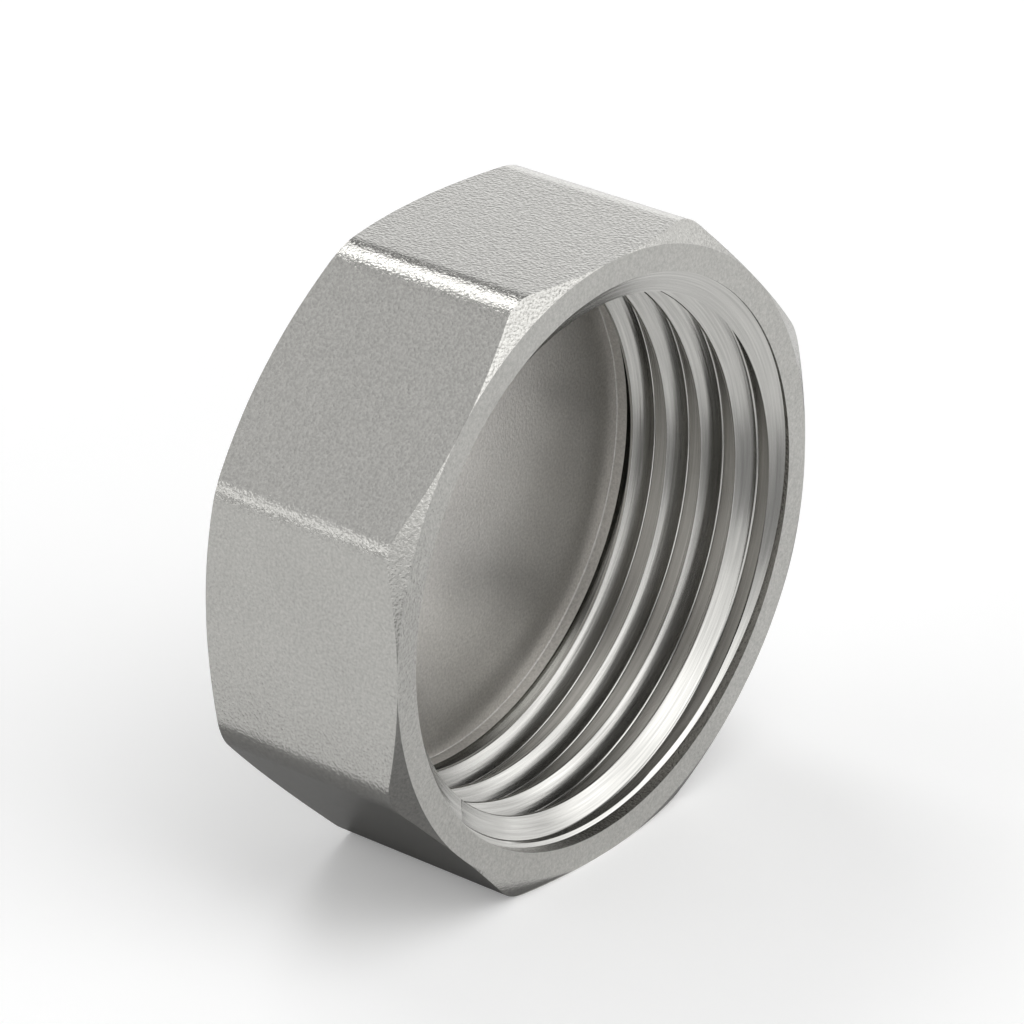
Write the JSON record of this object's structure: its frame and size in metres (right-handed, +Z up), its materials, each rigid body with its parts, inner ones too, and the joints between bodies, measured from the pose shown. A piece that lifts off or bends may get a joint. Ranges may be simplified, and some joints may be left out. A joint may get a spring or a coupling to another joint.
{
  "type": "threaded protection cap",
  "caption": "Short octagonal metal cap, blind at one end, with bevelled corners and a coarse internal thread that screws over an open fitting to seal and protect it.",
  "frame": {"origin": "under the middle of the cap, on the surface that its lowest flat lies on", "axes": "+X along the thread axis out of the open mouth, +Z up from the flat that it lies on"},
  "size_m": [0.011, 0.03, 0.03],
  "materials": {
    "cast_steel": "fine cast grain outside, turned and bright in the threaded bore"
  },
  "bodies": {
    "root": {"cap": "cast_steel"}
  },
  "joints": []
}
